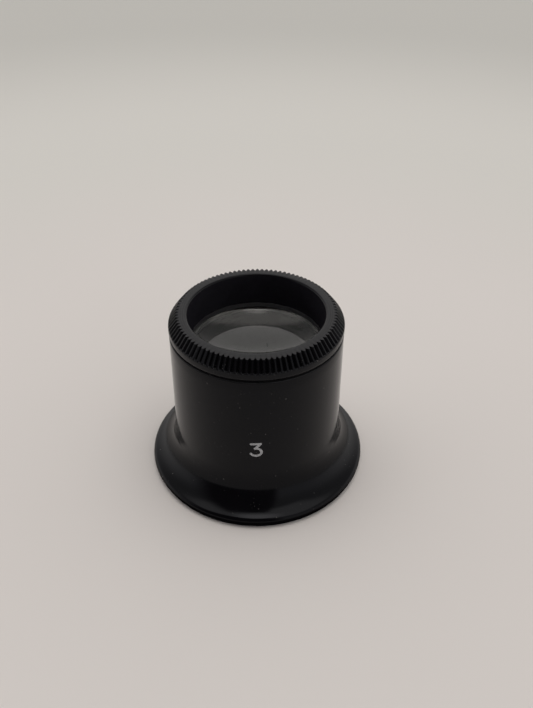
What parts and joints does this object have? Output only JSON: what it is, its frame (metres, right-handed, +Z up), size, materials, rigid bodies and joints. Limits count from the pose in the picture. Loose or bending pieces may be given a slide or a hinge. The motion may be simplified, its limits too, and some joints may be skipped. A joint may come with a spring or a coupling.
{
  "type": "watchmaker loupe",
  "caption": "Black eye loupe: a barrel flared into an eyecup rim, with a knurled screw-in ring that holds a thick convex magnifying lens by a split wire ring.",
  "frame": {"origin": "centre of the eyecup rim, on the surface that the loupe stands on", "axes": "+Z up along the optical axis, from the eyecup rim to the knurled ring; -Y is the side of the barrel with the power mark"},
  "size_m": [0.038, 0.038, 0.0305],
  "materials": {
    "housing_plastic": "satin black moulded plastic with a light sheen",
    "ring_plastic": "satin black moulded plastic with a sharp knurl",
    "lens_glass": "clear polished glass",
    "blackened_wire": "blackened spring wire"
  },
  "bodies": {
    "housing": {"eyecup_housing": "housing_plastic"},
    "lens": {"lens": "lens_glass"},
    "lens_ring": {"knurled_lens_ring": "ring_plastic", "lens_snap_ring": "blackened_wire"}
  },
  "joints": [
    {"name": "lens_rise", "type": "slide", "parent": "housing", "child": "lens", "axis": [0, 0, 1], "range_m": [0, 0.0068]},
    {"name": "ring_turn", "type": "hinge", "parent": "lens", "child": "lens_ring", "pos_m": [0, 0, 0.0274], "axis": [0, 0, 1], "range_deg": [0, 3240]}
  ],
  "couplings": [
    {"joint": "lens_rise", "follows": "ring_turn", "m_per_rad": 0.00011937}
  ]
}
